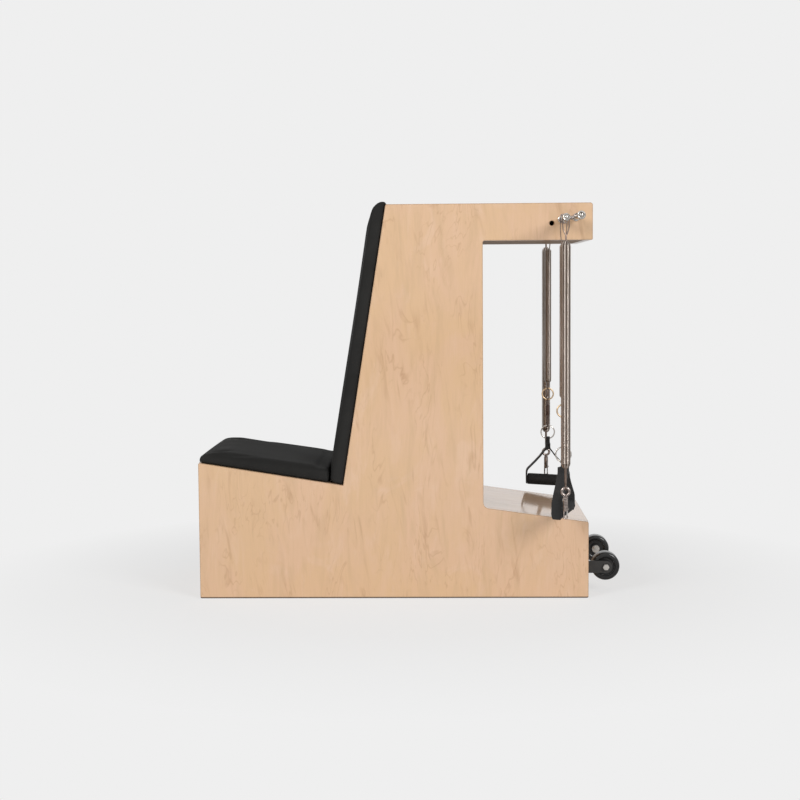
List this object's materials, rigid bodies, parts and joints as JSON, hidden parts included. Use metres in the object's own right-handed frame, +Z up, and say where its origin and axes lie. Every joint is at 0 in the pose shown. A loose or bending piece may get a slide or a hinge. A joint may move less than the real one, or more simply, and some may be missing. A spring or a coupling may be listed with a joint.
{
  "type": "pilates arm chair",
  "caption": "Pilates arm chair: padded tilted seat and back on a wooden box body with a rear arm, tilt wheels, hanging coil springs, snap hooks and strap handles.",
  "frame": {"origin": "on the floor, at the middle of the overall length from the seat's front edge to the wheels' rear, on the chair's middle plane", "axes": "+X to the chair's rear (the arm and wheels), +Y to the sitter's right, +Z up"},
  "size_m": [0.961, 0.652, 0.8973],
  "materials": {
    "maple_wood": "clear satin lacquer on maple veneer",
    "black_vinyl": "matt black upholstery vinyl over foam",
    "black_metal": "satin black powder coat",
    "chrome_steel": "polished plating",
    "spring_steel": "drawn spring steel",
    "dark_steel": "dark oxide finish",
    "tyre_rubber": "matt black rubber",
    "black_plastic": "moulded black nylon",
    "brass_ring": "satin brass",
    "black_webbing": "woven black webbing",
    "black_foam": "matt black foam grip"
  },
  "bodies": {
    "chair": {"left_side_panel": "maple_wood", "right_side_panel": "maple_wood", "front_panel": "maple_wood", "base_panel": "maple_wood", "rear_panel": "maple_wood", "seat_board": "maple_wood", "back_board": "maple_wood", "top_panel": "maple_wood", "arm_end_panel": "maple_wood", "arm_floor_panel": "maple_wood", "column_panel": "maple_wood", "shelf_panel": "maple_wood", "seat_pad": "black_vinyl", "back_pad": "black_vinyl", "left_wheel_bracket": "black_metal", "left_axle_bolt": "chrome_steel", "left_hanger_post_front": "chrome_steel", "left_hanger_post_rear": "chrome_steel", "left_parked_snap": "spring_steel", "right_wheel_bracket": "black_metal", "right_axle_bolt": "chrome_steel", "right_hanger_post_front": "chrome_steel", "right_hanger_post_rear": "chrome_steel", "right_parked_snap": "spring_steel"},
    "left_wheel": {"left_wheel_tyre": "tyre_rubber", "left_wheel_core": "black_plastic"},
    "left_long_spring": {"left_long_spring_hook": "spring_steel", "left_long_spring_coil": "spring_steel"},
    "left_long_rod": {"left_long_spring_rod": "spring_steel"},
    "left_long_eye": {"left_long_snap_eye": "spring_steel"},
    "left_long_snap": {"left_long_snap_body": "spring_steel"},
    "left_long_bolt": {"left_long_snap_bolt": "chrome_steel"},
    "left_short_spring": {"left_short_spring_hook": "spring_steel", "left_short_spring_coil": "spring_steel"},
    "left_short_rod": {"left_short_spring_rod": "spring_steel"},
    "left_tan_ring": {"left_tan_ring": "brass_ring"},
    "left_short_eye": {"left_short_snap_eye": "dark_steel"},
    "left_short_snap": {"left_short_snap_body": "dark_steel"},
    "left_short_bolt": {"left_short_snap_bolt": "chrome_steel"},
    "left_handle_ring": {"left_handle_ring": "chrome_steel"},
    "left_strap": {"left_handle_strap": "black_webbing"},
    "left_grip": {"left_handle_grip": "black_foam"},
    "right_wheel": {"right_wheel_tyre": "tyre_rubber", "right_wheel_core": "black_plastic"},
    "right_long_spring": {"right_long_spring_hook": "spring_steel", "right_long_spring_coil": "spring_steel"},
    "right_long_rod": {"right_long_spring_rod": "spring_steel"},
    "right_long_eye": {"right_long_snap_eye": "spring_steel"},
    "right_long_snap": {"right_long_snap_body": "spring_steel"},
    "right_long_bolt": {"right_long_snap_bolt": "chrome_steel"},
    "right_short_spring": {"right_short_spring_hook": "spring_steel", "right_short_spring_coil": "spring_steel"},
    "right_short_rod": {"right_short_spring_rod": "spring_steel"},
    "right_tan_ring": {"right_tan_ring": "brass_ring"},
    "right_short_eye": {"right_short_snap_eye": "dark_steel"},
    "right_short_snap": {"right_short_snap_body": "dark_steel"},
    "right_short_bolt": {"right_short_snap_bolt": "chrome_steel"},
    "right_handle_ring": {"right_handle_ring": "chrome_steel"},
    "right_strap": {"right_handle_strap": "black_webbing"},
    "right_grip": {"right_handle_grip": "black_foam"}
  },
  "joints": [
    {"name": "left_wheel_spin", "type": "hinge", "parent": "chair", "child": "left_wheel", "pos_m": [0.448, -0.113, 0.0605], "axis": [0, 1, 0], "continuous": true},
    {"name": "left_long_swing", "type": "hinge", "parent": "chair", "child": "left_long_spring", "pos_m": [0.341, -0.312, 0.853], "axis": [0, 1, 0], "range_deg": [-75, 110]},
    {"name": "left_long_stretch", "type": "slide", "parent": "left_long_spring", "child": "left_long_rod", "axis": [0, 0, -1], "range_m": [0, 0.16], "stiffness_N_per_m": 200, "springref_m": -0.05, "deforming": ["left_long_spring_coil"]},
    {"name": "left_long_link", "type": "hinge", "parent": "left_long_rod", "child": "left_long_eye", "pos_m": [0.341, -0.312, 0.264], "axis": [0, 1, 0], "range_deg": [-40, 40]},
    {"name": "left_long_swivel", "type": "hinge", "parent": "left_long_eye", "child": "left_long_snap", "pos_m": [0.341, -0.312, 0.2406], "axis": [0, 0, 1], "continuous": true},
    {"name": "left_long_bolt_slide", "type": "slide", "parent": "left_long_snap", "child": "left_long_bolt", "axis": [0, 0, 1], "range_m": [0, 0.007], "stiffness_N_per_m": 200, "springref_m": -0.005},
    {"name": "left_short_swing", "type": "hinge", "parent": "chair", "child": "left_short_spring", "pos_m": [0.341, -0.248, 0.853], "axis": [0, 1, 0], "range_deg": [-70, 110]},
    {"name": "left_short_stretch", "type": "slide", "parent": "left_short_spring", "child": "left_short_rod", "axis": [0, 0, -1], "range_m": [0, 0.18], "stiffness_N_per_m": 200, "springref_m": -0.05, "deforming": ["left_short_spring_coil"]},
    {"name": "left_tan_ring_swing", "type": "hinge", "parent": "left_short_rod", "child": "left_tan_ring", "pos_m": [0.341, -0.248, 0.44165], "axis": [0, 1, 0], "range_deg": [-22, 22]},
    {"name": "left_short_link", "type": "hinge", "parent": "left_tan_ring", "child": "left_short_eye", "pos_m": [0.341, -0.248, 0.417], "axis": [-1, 0, 0], "range_deg": [-30, 0]},
    {"name": "left_short_swivel", "type": "hinge", "parent": "left_short_eye", "child": "left_short_snap", "pos_m": [0.341, -0.248, 0.4], "axis": [0, 0, 1], "continuous": true},
    {"name": "left_short_bolt_slide", "type": "slide", "parent": "left_short_snap", "child": "left_short_bolt", "axis": [0, 0, 1], "range_m": [0, 0.007], "stiffness_N_per_m": 200, "springref_m": -0.005},
    {"name": "left_handle_ring_swing", "type": "hinge", "parent": "left_short_snap", "child": "left_handle_ring", "pos_m": [0.341, -0.248, 0.3474], "axis": [0, 1, 0], "range_deg": [-60, 60]},
    {"name": "left_handle_swing", "type": "hinge", "parent": "left_handle_ring", "child": "left_strap", "pos_m": [0.341, -0.248, 0.3171], "axis": [-1, 0, 0], "range_deg": [-30, 0]},
    {"name": "left_grip_spin", "type": "hinge", "parent": "left_strap", "child": "left_grip", "pos_m": [0.341, -0.248, 0.212], "axis": [0.3414, 0.938, 0.0593], "continuous": true},
    {"name": "right_wheel_spin", "type": "hinge", "parent": "chair", "child": "right_wheel", "pos_m": [0.448, 0.113, 0.0605], "axis": [0, 1, 0], "continuous": true},
    {"name": "right_long_swing", "type": "hinge", "parent": "chair", "child": "right_long_spring", "pos_m": [0.341, 0.312, 0.853], "axis": [0, 1, 0], "range_deg": [-75, 110]},
    {"name": "right_long_stretch", "type": "slide", "parent": "right_long_spring", "child": "right_long_rod", "axis": [0, 0, -1], "range_m": [0, 0.16], "stiffness_N_per_m": 200, "springref_m": -0.05, "deforming": ["right_long_spring_coil"]},
    {"name": "right_long_link", "type": "hinge", "parent": "right_long_rod", "child": "right_long_eye", "pos_m": [0.341, 0.312, 0.28], "axis": [0, 1, 0], "range_deg": [-40, 40]},
    {"name": "right_long_swivel", "type": "hinge", "parent": "right_long_eye", "child": "right_long_snap", "pos_m": [0.341, 0.312, 0.2566], "axis": [0, 0, 1], "continuous": true},
    {"name": "right_long_bolt_slide", "type": "slide", "parent": "right_long_snap", "child": "right_long_bolt", "axis": [0, 0, 1], "range_m": [0, 0.007], "stiffness_N_per_m": 200, "springref_m": -0.005},
    {"name": "right_short_swing", "type": "hinge", "parent": "chair", "child": "right_short_spring", "pos_m": [0.341, 0.248, 0.853], "axis": [0, 1, 0], "range_deg": [-70, 110]},
    {"name": "right_short_stretch", "type": "slide", "parent": "right_short_spring", "child": "right_short_rod", "axis": [0, 0, -1], "range_m": [0, 0.18], "stiffness_N_per_m": 200, "springref_m": -0.05, "deforming": ["right_short_spring_coil"]},
    {"name": "right_tan_ring_swing", "type": "hinge", "parent": "right_short_rod", "child": "right_tan_ring", "pos_m": [0.341, 0.248, 0.44165], "axis": [0, 1, 0], "range_deg": [-22, 22]},
    {"name": "right_short_link", "type": "hinge", "parent": "right_tan_ring", "child": "right_short_eye", "pos_m": [0.341, 0.248, 0.417], "axis": [1, 0, 0], "range_deg": [-30, 0]},
    {"name": "right_short_swivel", "type": "hinge", "parent": "right_short_eye", "child": "right_short_snap", "pos_m": [0.341, 0.248, 0.4], "axis": [0, 0, 1], "continuous": true},
    {"name": "right_short_bolt_slide", "type": "slide", "parent": "right_short_snap", "child": "right_short_bolt", "axis": [0, 0, 1], "range_m": [0, 0.007], "stiffness_N_per_m": 200, "springref_m": -0.005},
    {"name": "right_handle_ring_swing", "type": "hinge", "parent": "right_short_snap", "child": "right_handle_ring", "pos_m": [0.341, 0.248, 0.3474], "axis": [0, 1, 0], "range_deg": [-60, 60]},
    {"name": "right_handle_swing", "type": "hinge", "parent": "right_handle_ring", "child": "right_strap", "pos_m": [0.341, 0.248, 0.3171], "axis": [1, 0, 0], "range_deg": [-30, 0]},
    {"name": "right_grip_spin", "type": "hinge", "parent": "right_strap", "child": "right_grip", "pos_m": [0.341, 0.248, 0.212], "axis": [0.9982, 0, -0.0593], "continuous": true}
  ]
}
